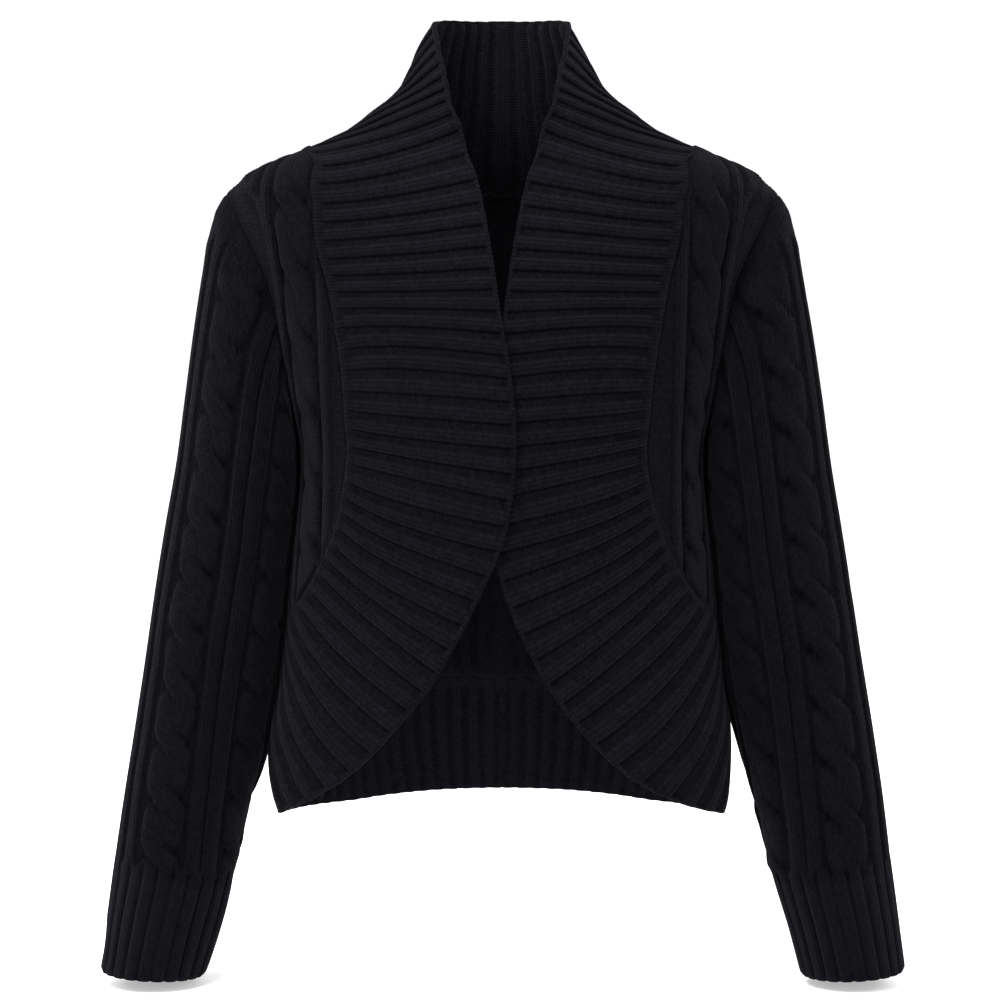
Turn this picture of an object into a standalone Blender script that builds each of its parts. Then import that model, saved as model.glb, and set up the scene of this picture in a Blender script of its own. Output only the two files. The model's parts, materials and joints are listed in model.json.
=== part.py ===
"""Cropped cable-knit cardigan with a wide shawl band, held in its worn, hollow form.

Every knitted piece is a wall of cloth 3 mm thick, cut where the real seams run. The frame is
the wearer's: +Z up, the front faces -Y, the wearer's right side is -X, and the origin lies
midway between the shoulders. Tables are in millimetres and degrees; MM turns them to metres.

The body, the fronts, the back and the band all lie on one hollow form. A place on it is given
by an angle phi, which is 0 at the centre front, 90 at the wearer's right side and 180 at the
centre back, and by a height z. The sleeves leave the form at the armholes.
"""
import math

import bmesh
import bpy
from mathutils import Vector

MM = 0.001
THICKNESS = 3.0          # wall of the knitted cloth
SEAM_GAP = 0.3           # between two pieces that are sewn together
LAP_OFFSET = 2.5         # the right front lies this far out from the form, the left this far in
LAP_FULL_WITHIN = 14.0   # from the centre line, where the whole lap offset holds
LAP_ENDS_AT = 62.0       # from the centre line, where both fronts are back on the form
LAP_TOP_FULL = -60.0     # height below which the whole lap offset holds
LAP_TOP_ENDS = 5.0       # height above which there is none

# Level sections of the form, from the collar's edge to the hem.
FORM_COLUMNS = ("z", "half_width", "front_depth", "back_depth")
FORM_ROWS = (
    (106, 46, 17, 61),
    (94, 48.5, 23, 63),
    (82, 54.5, 36, 64.5),
    (64, 65, 46, 65.5),
    (43, 77, 55, 67),
    (24, 100, 61, 69),
    (13, 115, 63, 71.5),
    (3, 136, 65, 74),
    (-8, 164, 69, 77),
    (-16, 181, 73, 80),
    (-25, 193, 78, 84),
    (-37, 201, 83, 88),
    (-54, 199, 90, 92),
    (-77, 190.5, 98, 97.5),
    (-100, 181, 104, 102.5),
    (-125, 174, 109, 106),
    (-161, 165, 113, 107),
    (-198, 156, 114, 106),
    (-225, 150, 114, 104),
    (-308, 157, 110, 99),
    (-353, 161.5, 111, 98),
    (-398, 166, 112, 100),
    (-440, 172, 112, 104),
    (-466, 171, 112, 106),
    (-502, 164, 112, 108),
)

# The band's ribs run from the seam on the body out to its free edge. Ribs are counted from the
# shoulder seam: below zero round the back neck, then down the front and round to the back hem.
# left_seam is how many degrees nearer to the front the seam lies on the left, and left_edge how
# much longer the rib is there: the left front is cut a little fuller.
BAND_COLUMNS = ("rib", "seam_phi", "seam_z", "edge_phi", "edge_z", "left_seam", "left_edge")
BAND_ROWS = (
    (-14, 180, -30, 180, 102.5, 0, 0),
    (-10, 164, -28.5, 124, 99.5, 0, 0),
    (-7, 151, -24.5, 74, 88, 0, 0),
    (-4.3, 138, -15.5, 43.5, 64, 0, 0),
    (-2.4, 119, -6, 32, 44.5, 0, 0),
    (-0.8, 90, 1.5, 24, 30, 0, 0),
    (1, 49, -15, 13.7, 9.7, 1, 0),
    (3, 43.6, -44, 5.0, -29, 2, 0),
    (6, 45.4, -85, 2.3, -78, 2.8, 0),
    (9, 45.2, -121.5, 0.3, -124, 2.5, 0),
    (12, 45.9, -167, -2.5, -172, 3, 0),
    (15, 48.3, -207, -4.0, -221.6, 4, 0),
    (18, 50.2, -244, -1.6, -277, 4.5, 4),
    (21, 52.7, -277, 6.2, -330.7, 3.5, 12),
    (24, 60.5, -311.6, 16.1, -383, 4, 14),
    (26, 71.5, -336, 23.1, -411, 3, 14),
    (28.7, 90, -353, 37.5, -453, 0, 11),
    (31, 101, -360, 59, -482, 0, 5),
    (33.5, 111, -368, 90, -497, 0, 0),
    (36, 120, -377, 106.5, -497, 0, 0),
    (40, 133, -389, 131, -496, 0, 0),
    (43.3, 145, -396, 147.5, -495, 0, 0),
    (47, 162, -401.5, 163.5, -495, 0, 0),
    (51, 180, -404, 180, -495, 0, 0),
)
RIB_CENTRE_NECK = -14
RIB_SHOULDER = -0.8      # where the band's seam crosses the shoulder seam, at phi 90
RIB_SIDE_FOOT = 28.7     # where it crosses the side seam
RIB_BAND_END = 33.5      # where the front band is joined to the back hem band
RIB_CENTRE_HEM = 51
SIDE_PHI = 90.0          # the shoulder seam and the side seam
CENTRE_BACK_PHI = 180.0

ARMHOLE_TOP = -37.0      # heights of the armhole on the side of the form
ARMHOLE_FOOT = -212.0
ARMHOLE_SPREAD = 16.0    # degrees that it reaches to the front and to the back of the side
ARMHOLE_LEAN = 0.35      # how much wider than that it is near its top, and narrower near its foot

# Rings round the right sleeve, from the armhole to the wrist. The outer point is over the top
# of the arm and the inner one under it; half_depth is the reach to the front and back.
SLEEVE_COLUMNS = ("ring", "outer_x", "outer_z", "inner_x", "inner_z", "centre_y", "half_depth")
SLEEVE_ROWS = (
    (0, -201, -37, -151, -212, 0, 36),
    (1, -211.5, -47, -145, -224, 2, 43),
    (2, -219, -65, -143, -240, 5, 48),
    (3, -224, -92, -143, -262, 8, 51),
    (4, -231, -135, -145, -288, 10, 52),
    (5, -238, -185, -149, -318, 12, 52),
    (6, -245, -235, -152, -350, 13, 51),
    (7, -254, -285, -157, -385, 13, 50),
    (8, -262, -335, -165, -418, 12, 49),
    (9, -269, -385, -179, -452, 9, 47),
    (10, -277, -438, -189.5, -486, 6, 44),
    (11, -285, -490, -198, -519, 2, 41),
    (12, -292, -539, -206, -550, -2, 38),
    (13, -297.5, -577, -217, -586, -6, 37),
    (14, -302.5, -615, -226, -620, -10, 36),
)
RING_CUFF = 12           # the seam between sleeve and cuff
RING_WRIST = 14
RINGS_OF_CAP = 3.5       # the sleeve's first stretch, which takes the armhole's shape
SIDE_CLEARANCE = 4.0     # between the body and a sleeve that is pressed against it
RINGS_TO_CLEAR = 1.2     # over which that clearance opens, from the armhole

# How finely each seam is divided. Pieces that share a seam share its stations.
NECK_STEPS = 13          # centre back neck to shoulder, and side seam to centre back hem
BAND_END_STEPS = 4       # of those, from the side seam to the band's end
SHOULDER_STEPS = 4       # along the shoulder seam
ARM_STEPS = 12           # half of the armhole
SIDE_STEPS = 8           # the side seam under the armhole
BAND_ACROSS = 6
SLEEVE_ALONG = 14
CUFF_ALONG = 3

# Small distances that the surfaces' directions are measured over.
PHI_STEP = 0.5
Z_STEP = 1.0
RING_STEP = 0.05
PSI_STEP = 0.02
SAME_POINT = 1e-4
LEAST_MITRE = 0.5        # keeps the cloth's edge at the armhole from growing too long

KNIT_COLOURS = {
    "cable_knit": (0.012, 0.012, 0.016, 1.0),
    "rib_knit": (0.010, 0.010, 0.014, 1.0),
}
KNIT_ROUGHNESS = 0.9
SHARP_EDGE = math.radians(40)
RIGHT, LEFT = 1, -1      # sides of the wearer; the right lies at -X


def clear_scene():
    """Remove whatever the file holds."""
    for thing in list(bpy.data.objects):
        bpy.data.objects.remove(thing, do_unlink=True)


def knit_material(name, colour):
    """A plain dull knit in one colour."""
    material = bpy.data.materials.new(name)
    material.use_nodes = True
    shader = material.node_tree.nodes["Principled BSDF"]
    shader.inputs["Base Color"].default_value = colour
    shader.inputs["Roughness"].default_value = KNIT_ROUGHNESS
    shader.inputs["Metallic"].default_value = 0.0
    return material


def read_table(columns, rows, key):
    """A table's columns at a key, on curves through its rows that never overshoot."""
    keys = [row[0] for row in rows]
    if keys[0] > keys[-1]:
        rows = rows[::-1]
        keys = keys[::-1]
    last = len(rows) - 1
    key = min(max(key, keys[0]), keys[last])
    i = next((n for n in range(last) if key <= keys[n + 1]), last - 1)

    def slope(n, column):
        """Slope of the curve at row n: the harmonic mean of its two neighbours' slopes."""
        if n in (0, last):
            n = max(n, 1)
            return (rows[n][column] - rows[n - 1][column]) / (keys[n] - keys[n - 1])
        before = (rows[n][column] - rows[n - 1][column]) / (keys[n] - keys[n - 1])
        after = (rows[n + 1][column] - rows[n][column]) / (keys[n + 1] - keys[n])
        return 0.0 if before * after <= 0 else 2 * before * after / (before + after)

    span = keys[i + 1] - keys[i]
    t = (key - keys[i]) / span
    found = {columns[0]: key}
    for column in range(1, len(columns)):
        a, b = rows[i][column], rows[i + 1][column]
        rise_a, rise_b = slope(i, column) * span, slope(i + 1, column) * span
        found[columns[column]] = (a * (1 + 2 * t) * (1 - t) ** 2 + b * t * t * (3 - 2 * t)
                                  + rise_a * t * (1 - t) ** 2 - rise_b * t * t * (1 - t))
    return found


def ease(value, start, end):
    """From 0 at start to 1 at end, level at both."""
    t = min(max((value - start) / (end - start), 0.0), 1.0)
    return t * t * (3 - 2 * t)


def form_point(phi, z, side):
    """The point of the form at an angle and a height, on the right or the left."""
    row = read_table(FORM_COLUMNS, FORM_ROWS, z)
    angle = math.radians(phi)
    depth = row["front_depth"] if math.cos(angle) > 0 else row["back_depth"]
    return Vector((-side * row["half_width"] * math.sin(angle), -depth * math.cos(angle), z))


def form_normal(phi, z, side):
    """The direction straight out of the form."""
    round_it = form_point(phi + PHI_STEP, z, side) - form_point(phi - PHI_STEP, z, side)
    up_it = form_point(phi, z + Z_STEP, side) - form_point(phi, z - Z_STEP, side)
    return (up_it.cross(round_it) * side).normalized()


def lap(point, side):
    """How far a front stands out from the form where the right one laps over the left."""
    within = 1 - ease(abs(point.x), LAP_FULL_WITHIN, LAP_ENDS_AT)
    under_neck = 1 - ease(point.z, LAP_TOP_FULL, LAP_TOP_ENDS)
    return side * LAP_OFFSET * within * under_neck if point.y < 0 else 0.0


def on_form(place, side):
    """Outer point of the cloth and the way through it, for a (phi, z) place on the form."""
    phi, z = place
    point = form_point(phi, z, side)
    normal = form_normal(phi, z, side)
    return point + normal * lap(point, side), normal


def seam_place(rib, side):
    """Where the band's seam is at a rib."""
    row = read_table(BAND_COLUMNS, BAND_ROWS, rib)
    return row["seam_phi"] - (row["left_seam"] if side == LEFT else 0), row["seam_z"]


def edge_place(rib, side):
    """Where the band's free edge is at a rib."""
    row = read_table(BAND_COLUMNS, BAND_ROWS, rib)
    phi, z = row["edge_phi"], row["edge_z"]
    if side == LEFT:
        seam_phi, seam_z = seam_place(rib, side)
        length = (form_point(phi, z, side) - form_point(seam_phi, seam_z, side)).length
        longer = 1 + row["left_edge"] / length
        phi = seam_phi + (phi - seam_phi) * longer
        z = seam_z + (z - seam_z) * longer
    return phi, z


def armhole_place(turn, front):
    """The armhole at a turn from 0, its top, to 1, under the arm."""
    psi = math.pi * turn
    middle = (ARMHOLE_TOP + ARMHOLE_FOOT) / 2
    z = middle + (ARMHOLE_TOP - middle) * math.cos(psi)
    bow = ARMHOLE_SPREAD * math.sin(psi) * (1 + ARMHOLE_LEAN * math.cos(psi))
    return SIDE_PHI - bow if front else SIDE_PHI + bow, z


def spread(start, end, steps):
    """Evenly spaced numbers from start to end, both included."""
    return [start + (end - start) * i / steps for i in range(steps + 1)]


def sleeve_ellipse(ring, psi, side):
    """A point of the sleeve's plain ring; psi is 0 over the arm and turns to the front."""
    row = read_table(SLEEVE_COLUMNS, SLEEVE_ROWS, ring)
    outer = Vector((side * row["outer_x"], row["centre_y"], row["outer_z"]))
    inner = Vector((side * row["inner_x"], row["centre_y"], row["inner_z"]))
    middle = (outer + inner) / 2
    forward = Vector((0, -row["half_depth"], 0))
    return middle + (outer - middle) * math.cos(psi) + forward * math.sin(psi)


def sleeve_point(ring, psi, side):
    """A point of the sleeve, whose cap takes the shape of the armhole."""
    psi %= 2 * math.pi
    front = psi <= math.pi
    turn = (psi if front else 2 * math.pi - psi) / math.pi
    armhole = form_point(*armhole_place(turn, front), side)
    from_plain = armhole - sleeve_ellipse(0, psi, side)
    point = sleeve_ellipse(ring, psi, side) + from_plain * (1 - ease(ring, 0, RINGS_OF_CAP))
    return clear_of_body(point, ring, side)


def clear_of_body(point, ring, side):
    """Dent the sleeve where its side would press into the body, and leave a narrow gap."""
    row = read_table(FORM_COLUMNS, FORM_ROWS, point.z)
    reach = point.y / (row["back_depth"] if point.y > 0 else row["front_depth"])
    body_x = row["half_width"] * math.sqrt(max(1 - reach * reach, 0.0))
    still_closing = max(1 - ring / RINGS_TO_CLEAR, 0.0)
    gap = SIDE_CLEARANCE * (1 - still_closing ** 2)
    outside = -side * point.x - body_x - gap
    if gap < SAME_POINT:
        dented = max(outside, 0.0)
    else:
        dented = max(gap * math.log1p(math.exp(-abs(outside) / gap)) + max(outside, 0.0), outside)
    return Vector((-side * (body_x + gap + dented), point.y, point.z))


def sleeve_normal(ring, psi, side):
    """The direction straight out of the sleeve."""
    low, high = max(ring - RING_STEP, 0), min(ring + RING_STEP, RING_WRIST)
    along = sleeve_point(high, psi, side) - sleeve_point(low, psi, side)
    round_it = sleeve_point(ring, psi + PSI_STEP, side) - sleeve_point(ring, psi - PSI_STEP, side)
    return (along.cross(round_it) * side).normalized()


def armhole_way(turn, front, side):
    """The way through the cloth at the armhole seam, halfway between body and sleeve."""
    body = form_normal(*armhole_place(turn, front), side)
    psi = math.pi * turn if front else -math.pi * turn
    middle = (body + sleeve_normal(0, psi, side)).normalized()
    return middle / max(middle.dot(body), LEAST_MITRE)


def blend_grid(top, bottom, start, end):
    """Places inside four borders: top and bottom run along the columns, start and end down."""
    columns, rows = len(top) - 1, len(start) - 1
    grid = []
    for r in range(rows + 1):
        t = r / rows
        line = []
        for c in range(columns + 1):
            s = c / columns
            place = []
            for k in (0, 1):
                along = (1 - t) * top[c][k] + t * bottom[c][k]
                down = (1 - s) * start[r][k] + s * end[r][k]
                corners = ((1 - s) * (1 - t) * top[0][k] + s * (1 - t) * top[-1][k]
                           + (1 - s) * t * bottom[0][k] + s * t * bottom[-1][k])
                place.append(along + down - corners)
            line.append(tuple(place))
        grid.append(line)
    return grid


def border_of(rows, columns, wrapped):
    """The grid's border as closed loops of (row, column)."""
    if wrapped:
        return [[(0, c) for c in range(columns)],
                [(rows - 1, c) for c in reversed(range(columns))]]
    loop = [(0, c) for c in range(columns - 1)]
    loop += [(r, columns - 1) for r in range(rows - 1)]
    loop += [(rows - 1, c) for c in range(columns - 1, 0, -1)]
    loop += [(r, 0) for r in range(rows - 1, 0, -1)]
    return [loop]


def sideways(here, there, way):
    """The unit direction that lies in the cloth, square to the edge from here to there."""
    return (there - here).cross(way).normalized()


def draw_in(points, ways, wrapped):
    """Move the border of a grid in by half the seam's gap, along the cloth."""
    moved = {}
    for loop in border_of(len(points), len(points[0]), wrapped):
        places = [points[r][c] for r, c in loop]
        corners = [n for n in range(len(loop))
                   if (places[n] - places[n - 1]).length > SAME_POINT]
        moves = []
        for k, n in enumerate(corners):
            row, column = loop[n]
            way = ways[row][column].normalized()
            before = sideways(places[corners[k - 1]], places[n], way)
            after = sideways(places[n], places[corners[(k + 1) % len(corners)]], way)
            moves.append((before + after) / (1 + before.dot(after)) * SEAM_GAP / 2)
        inner = points[1 if loop[0][0] == 0 else -2] if wrapped else None
        middle = points[len(points) // 2][len(points[0]) // 2]
        inward = 0.0
        for move, n in zip(moves, corners):
            goal = inner[loop[n][1]] if wrapped else middle
            inward += move.dot(goal - places[n])
        sign = 1 if inward > 0 else -1
        for n, at in enumerate(loop):
            nearest = min(range(len(corners)), key=lambda k: (places[corners[k]] - places[n]).length)
            moved[at] = places[n] + moves[nearest] * sign
    for (row, column), place in moved.items():
        points[row][column] = place


def cloth_piece(name, cloth, material, wrapped=False):
    """A closed wall from a grid of (outer point, way through the cloth)."""
    points = [[outer.copy() for outer, _ in line] for line in cloth]
    ways = [[way for _, way in line] for line in cloth]
    draw_in(points, ways, wrapped)
    rows, columns = len(points), len(points[0])
    mesh = bmesh.new()
    outer = [[mesh.verts.new(p * MM) for p in line] for line in points]
    inner = [[mesh.verts.new((p - w * THICKNESS) * MM) for p, w in zip(*pair)]
             for pair in zip(points, ways)]
    around = columns if wrapped else columns - 1
    for r in range(rows - 1):
        for c in range(around):
            d = (c + 1) % columns
            mesh.faces.new((outer[r][c], outer[r][d], outer[r + 1][d], outer[r + 1][c]))
            mesh.faces.new((inner[r][c], inner[r + 1][c], inner[r + 1][d], inner[r][d]))
    for loop in border_of(rows, columns, wrapped):
        for n, (r, c) in enumerate(loop):
            q, d = loop[(n + 1) % len(loop)]
            rim(mesh, outer[r][c], outer[q][d], inner[r][c], inner[q][d])
    bmesh.ops.remove_doubles(mesh, verts=mesh.verts, dist=SAME_POINT * MM)
    bmesh.ops.recalc_face_normals(mesh, faces=mesh.faces)
    data = bpy.data.meshes.new(name)
    mesh.to_mesh(data)
    mesh.free()
    data.materials.append(material)
    data.shade_smooth()
    data.set_sharp_from_angle(angle=SHARP_EDGE)
    piece = bpy.data.objects.new(name, data)
    bpy.context.collection.objects.link(piece)


def rim(mesh, outer_a, outer_b, inner_a, inner_b):
    """Two triangles across the cloth's edge, always split from the higher outer corner."""
    if outer_a.co.z >= outer_b.co.z:
        mesh.faces.new((outer_a, outer_b, inner_b))
        mesh.faces.new((outer_a, inner_b, inner_a))
    else:
        mesh.faces.new((outer_b, outer_a, inner_a))
        mesh.faces.new((outer_b, inner_a, inner_b))


def shoulder():
    """Places along the shoulder seam, from the band out to the armhole."""
    neck = seam_place(RIB_SHOULDER, RIGHT)[1]
    return [(SIDE_PHI, z) for z in spread(neck, ARMHOLE_TOP, SHOULDER_STEPS)]


def armhole_and_side(front):
    """Places down the armhole and on down the side seam."""
    foot = seam_place(RIB_SIDE_FOOT, RIGHT)[1]
    arm = [armhole_place(turn, front) for turn in spread(0, 1, ARM_STEPS)]
    return arm + [(SIDE_PHI, z) for z in spread(ARMHOLE_FOOT, foot, SIDE_STEPS)[1:]]


def body_cloth(places, side, front):
    """Cloth for a grid of body places, turned to meet the sleeve along the armhole."""
    cloth = [[on_form(place, side) for place in line] for line in places]
    first = 0 if front else SHOULDER_STEPS
    for n, turn in enumerate(spread(0, 1, ARM_STEPS)):
        line = cloth[first + n]
        line[-1] = (line[-1][0], armhole_way(turn, front, side))
    return cloth


def front_panel(side):
    """The front between band, shoulder, armhole and side seam; it ends in a point."""
    ribs = spread(RIB_SHOULDER, RIB_SIDE_FOOT, ARM_STEPS + SIDE_STEPS)
    seam = [seam_place(rib, side) for rib in ribs]
    seam[0] = (SIDE_PHI, seam[0][1])
    seam[-1] = (SIDE_PHI, seam[-1][1])
    outside = armhole_and_side(front=True)
    foot = [outside[-1]] * (SHOULDER_STEPS + 1)
    return body_cloth(blend_grid(shoulder(), foot, seam, outside), side, front=True)


def half_back(side):
    """Half of the back, from its centre line out to the shoulder, armhole and side seam."""
    neck = [seam_place(rib, side) for rib in spread(RIB_CENTRE_NECK, RIB_SHOULDER, NECK_STEPS)]
    in_back_band = spread(RIB_CENTRE_HEM, RIB_BAND_END, NECK_STEPS - BAND_END_STEPS)
    in_front_band = spread(RIB_BAND_END, RIB_SIDE_FOOT, BAND_END_STEPS)
    hem = [seam_place(rib, side) for rib in in_back_band + in_front_band[1:]]
    outside = shoulder()[:-1] + armhole_and_side(front=False)
    neck[-1], hem[-1] = outside[0], outside[-1]
    centre = [(CENTRE_BACK_PHI, z) for z in spread(neck[0][1], hem[0][1], len(outside) - 1)]
    return body_cloth(blend_grid(neck, hem, centre, outside), side, front=False)


def back_panel():
    """The whole back: both halves, which share their centre line."""
    halves = zip(half_back(LEFT), half_back(RIGHT))
    return [left[::-1] + right[1:] for left, right in halves]


def band_lines(ribs, side):
    """Cloth of the band: a line for each rib, from its seam to its free edge."""
    cloth = []
    for rib in ribs:
        seam, edge = seam_place(rib, side), edge_place(rib, side)
        places = [tuple(a + (b - a) * t for a, b in zip(seam, edge))
                  for t in spread(0, 1, BAND_ACROSS)]
        cloth.append([on_form(place, side) for place in places])
    return cloth


def front_band(side):
    """Half of the shawl band, from the centre back neck to the side of the hem."""
    ribs = spread(RIB_CENTRE_NECK, RIB_SHOULDER, NECK_STEPS)
    ribs += spread(RIB_SHOULDER, RIB_SIDE_FOOT, ARM_STEPS + SIDE_STEPS)[1:]
    ribs += spread(RIB_SIDE_FOOT, RIB_BAND_END, BAND_END_STEPS)[1:]
    return band_lines(ribs, side)


def back_hem_band():
    """The band under the back, between the ends of the two front bands."""
    ribs = spread(RIB_BAND_END, RIB_CENTRE_HEM, NECK_STEPS - BAND_END_STEPS)
    return band_lines(ribs, RIGHT) + band_lines(ribs, LEFT)[-2::-1]


def sleeve_tube(first, last, along, side):
    """Rings of cloth round the arm; the first one follows the armhole's stations."""
    turns = spread(0, 1, ARM_STEPS)
    round_it = [(turn, True) for turn in turns[:-1]] + [(turn, False) for turn in turns[:0:-1]]
    cloth = []
    for ring in spread(first, last, along):
        line = []
        for turn, front in round_it:
            psi = math.pi * turn if front else -math.pi * turn
            way = sleeve_normal(ring, psi, side) if ring else armhole_way(turn, front, side)
            line.append((sleeve_point(ring, psi, side), way))
        cloth.append(line)
    return cloth


def build():
    """Make every knitted piece of the cardigan."""
    clear_scene()
    knit = {name: knit_material(name, colour) for name, colour in KNIT_COLOURS.items()}
    cloth_piece("back_panel", back_panel(), knit["cable_knit"])
    cloth_piece("hem_band_back", back_hem_band(), knit["rib_knit"])
    for side, word in ((RIGHT, "right"), (LEFT, "left")):
        sleeve = sleeve_tube(0, RING_CUFF, SLEEVE_ALONG, side)
        cuff = sleeve_tube(RING_CUFF, RING_WRIST, CUFF_ALONG, side)
        cloth_piece("front_panel_" + word, front_panel(side), knit["cable_knit"])
        cloth_piece("band_" + word, front_band(side), knit["rib_knit"])
        cloth_piece("sleeve_" + word, sleeve, knit["cable_knit"], wrapped=True)
        cloth_piece("cuff_" + word, cuff, knit["rib_knit"], wrapped=True)


build()
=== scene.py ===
"""Looks of the cable-knit cardigan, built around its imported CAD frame.

Each knitted piece is a thin closed shell of cloth on the form of its CAD solid. Its ribs, cables
and seams are real relief in the mesh; the single stitches are bump in the knit's material.
Tables and places are in millimetres and degrees, as in the CAD, and meshes are in metres.
"""
import json
import math
from collections import namedtuple

import bpy
import numpy as np
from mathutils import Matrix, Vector
from mathutils.geometry import delaunay_2d_cdt

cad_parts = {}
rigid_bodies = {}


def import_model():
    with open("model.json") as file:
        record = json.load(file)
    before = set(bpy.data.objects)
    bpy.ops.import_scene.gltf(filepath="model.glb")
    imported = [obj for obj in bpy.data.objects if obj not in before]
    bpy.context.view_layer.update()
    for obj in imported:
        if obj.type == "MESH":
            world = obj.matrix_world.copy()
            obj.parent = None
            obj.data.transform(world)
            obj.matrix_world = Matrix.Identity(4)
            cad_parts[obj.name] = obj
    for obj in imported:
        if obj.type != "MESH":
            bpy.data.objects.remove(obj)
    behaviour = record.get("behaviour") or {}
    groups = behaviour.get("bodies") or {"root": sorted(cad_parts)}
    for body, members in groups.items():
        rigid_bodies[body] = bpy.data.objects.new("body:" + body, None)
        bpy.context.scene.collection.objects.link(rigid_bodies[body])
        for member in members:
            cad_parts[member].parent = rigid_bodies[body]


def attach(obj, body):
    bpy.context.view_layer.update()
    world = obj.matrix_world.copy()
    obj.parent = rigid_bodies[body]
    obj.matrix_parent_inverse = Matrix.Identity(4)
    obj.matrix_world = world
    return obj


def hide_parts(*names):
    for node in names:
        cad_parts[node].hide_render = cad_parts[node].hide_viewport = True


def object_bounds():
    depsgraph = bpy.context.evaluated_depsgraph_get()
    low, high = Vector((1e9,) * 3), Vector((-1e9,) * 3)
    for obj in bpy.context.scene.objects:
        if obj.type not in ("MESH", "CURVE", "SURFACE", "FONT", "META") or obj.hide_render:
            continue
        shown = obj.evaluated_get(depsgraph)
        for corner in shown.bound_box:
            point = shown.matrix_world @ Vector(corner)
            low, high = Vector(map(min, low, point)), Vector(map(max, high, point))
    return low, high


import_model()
CAD_LOW, CAD_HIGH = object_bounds()

MM = 0.001
RIGHT, LEFT = 1, -1  # the wearer's
SEED = 11

# ---- the form, as in the CAD
LAP_OFFSET = 2.5
LAP_WIDTHS = (14.0, 62.0)  # distances from the centre line, and heights, over which the lap ends
LAP_HEIGHTS = (-60.0, 5.0)

# height, half_width, front_depth, back_depth
FORM_ROWS = (
    (106, 46, 17, 61), (94, 48.5, 23, 63), (82, 54.5, 36, 64.5),
    (64, 65, 46, 65.5), (43, 77, 55, 67), (24, 100, 61, 69),
    (13, 115, 63, 71.5), (3, 136, 65, 74), (-8, 164, 69, 77),
    (-16, 181, 73, 80), (-25, 193, 78, 84), (-37, 201, 83, 88),
    (-54, 199, 90, 92), (-77, 190.5, 98, 97.5), (-100, 181, 104, 102.5),
    (-125, 174, 109, 106), (-161, 165, 113, 107), (-198, 156, 114, 106),
    (-225, 150, 114, 104), (-308, 157, 110, 99), (-353, 161.5, 111, 98),
    (-398, 166, 112, 100), (-440, 172, 112, 104), (-466, 171, 112, 106),
    (-502, 164, 112, 108),
)
# rib, seam_phi, seam_z, edge_phi, edge_z, left_seam, left_edge
BAND_ROWS = (
    (-14, 180, -30, 180, 102.5, 0, 0), (-10, 164, -28.5, 124, 99.5, 0, 0),
    (-7, 151, -24.5, 74, 88, 0, 0), (-4.3, 138, -15.5, 43.5, 64, 0, 0),
    (-2.4, 119, -6, 32, 44.5, 0, 0), (-0.8, 90, 1.5, 24, 30, 0, 0),
    (1, 50.3, -15, 13.7, 9.7, 1, 0), (3, 43.6, -44, 5.0, -29, 2, 0),
    (6, 45.4, -85, 2.3, -78, 2.8, 0), (9, 45.2, -121.5, 0.3, -124, 2.5, 0),
    (12, 45.9, -167, -2.5, -172, 3, 0), (15, 48.3, -207, -4.0, -221.6, 4, 0),
    (18, 50.2, -244, -1.6, -277, 4.5, 4), (21, 52.7, -277, 6.2, -330.7, 3.5, 12),
    (24, 60.5, -311.6, 16.1, -383, 4, 14), (26, 71.5, -336, 23.1, -411, 3, 14),
    (28.7, 90, -353, 37.5, -453, 0, 11), (31, 101, -360, 59, -482, 0, 5),
    (33.5, 111, -368, 90, -498.5, 0, 0), (36, 120, -377, 106.5, -500, 0, 0),
    (40, 133, -389, 131, -500.5, 0, 0), (43.3, 145, -396, 147.5, -498, 0, 0),
    (47, 162, -401.5, 163.5, -495.8, 0, 0), (51, 180, -404, 180, -495, 0, 0),
)
# rib, how far the rib bows down or up between the seam and the edge
BOW_ROWS = (
    (-14, 0), (-4, -4), (-1, -9), (1, -8), (3, -4.5), (6, -1.5), (8, -0.5),
    (10, 3.5), (11, 5), (12, 4.5), (13, 1.5), (15, -1), (17, 1), (18.5, -3.5),
    (20, -2.5), (22, -3), (23, 1), (25, 5), (27, 1.5), (30, 0), (51, 0),
)
RIB_CENTRE_NECK = -14
RIB_SHOULDER = -0.8
RIB_SIDE_FOOT = 28.7
RIB_BAND_END = 33.5
RIB_CENTRE_HEM = 51
SIDE_PHI = 90.0
CENTRE_BACK_PHI = 180.0

ARMHOLE_TOP = -37.0
ARMHOLE_FOOT = -212.0
ARMHOLE_SPREAD = 16.0
ARMHOLE_LEAN = 0.35

# ring, outer_x, outer_z, inner_x, inner_z, centre_y, half_depth
SLEEVE_ROWS = (
    (0, -201, -37, -151, -212, 0, 36), (1, -211.5, -47, -145, -224, 2, 43),
    (2, -219, -65, -143, -240, 5, 48), (3, -224, -92, -143, -262, 8, 51),
    (4, -231, -135, -145, -288, 10, 52), (5, -238, -185, -149, -318, 12, 52),
    (6, -245, -235, -152, -350, 13, 51), (7, -254, -285, -157, -385, 13, 50),
    (8, -262, -335, -165, -418, 12, 49), (9, -269, -385, -179, -452, 9, 47),
    (10, -277, -438, -189.5, -486, 6, 44), (11, -285, -490, -198, -519, 2, 41),
    (12, -292, -539, -206, -550, -2, 38), (13, -297.5, -577, -217, -586, -6, 37),
    (14, -302.5, -615, -226, -620, -10, 36),
)
RING_CUFF = 12
RING_WRIST = 14
RINGS_OF_CAP = 3.5
SIDE_CLEARANCE = 4.0
RINGS_TO_CLEAR = 1.2

PHI_STEP = 0.5
Z_STEP = 1.0
RING_STEP = 0.05
PSI_STEP = 0.02
LEAST_MITRE = 0.5

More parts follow.
